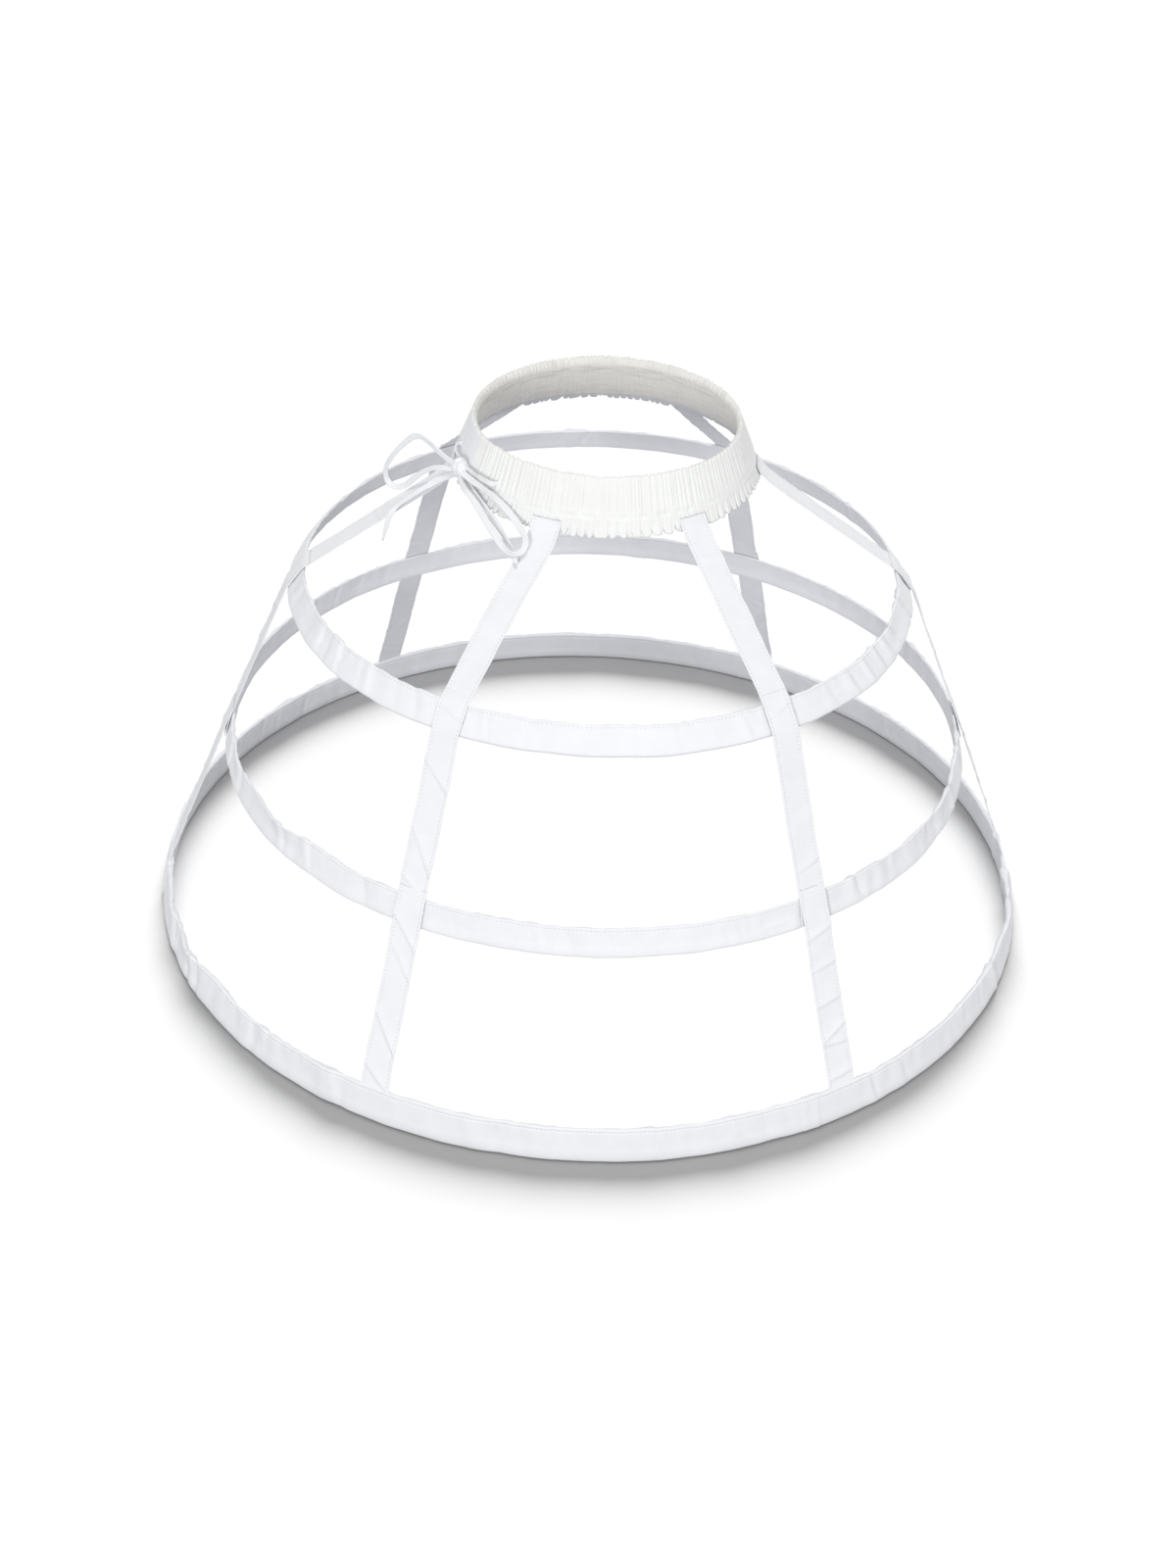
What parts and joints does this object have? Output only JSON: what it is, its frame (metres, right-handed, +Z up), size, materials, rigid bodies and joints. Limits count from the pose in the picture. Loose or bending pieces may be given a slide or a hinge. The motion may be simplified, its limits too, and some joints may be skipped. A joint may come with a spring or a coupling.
{
  "type": "bustle cage",
  "caption": "White cotton bustle cage petticoat: boned hoops in cloth casings hang from a gathered drawstring waistband by sewn tapes, with a ribbon bow at the hip.",
  "frame": {"origin": "on the floor at the centre of the bottom hoop, straight below the waist", "axes": "+Z up through the waist, -Y towards the front of the wearer, +X towards the wearer's left"},
  "size_m": [0.6892, 0.6904, 0.4155],
  "materials": {
    "cotton": "matte",
    "tape": "matte",
    "ribbon": "satin",
    "elastic": "matte",
    "boning": "matte",
    "joiner": "brushed"
  },
  "bodies": {
    "root": {"waistband": "cotton", "top_hoop_casing": "cotton", "middle_hoop_casing": "cotton", "bottom_hoop_casing": "cotton", "tape_front_left": "tape", "tape_front_right": "tape", "tape_left": "tape", "tape_right": "tape", "tape_back_left": "tape", "tape_back_right": "tape", "top_hoop_bone": "boning", "middle_hoop_bone": "boning", "bottom_hoop_bone": "boning", "top_bone_joiner": "joiner", "middle_bone_joiner": "joiner", "bottom_bone_joiner": "joiner", "waist_elastic": "elastic", "waist_drawcord": "ribbon", "bow_knot": "ribbon", "tie_loop_left": "ribbon", "tie_loop_right": "ribbon", "tie_tail_left": "ribbon", "tie_tail_right": "ribbon"}
  },
  "joints": []
}
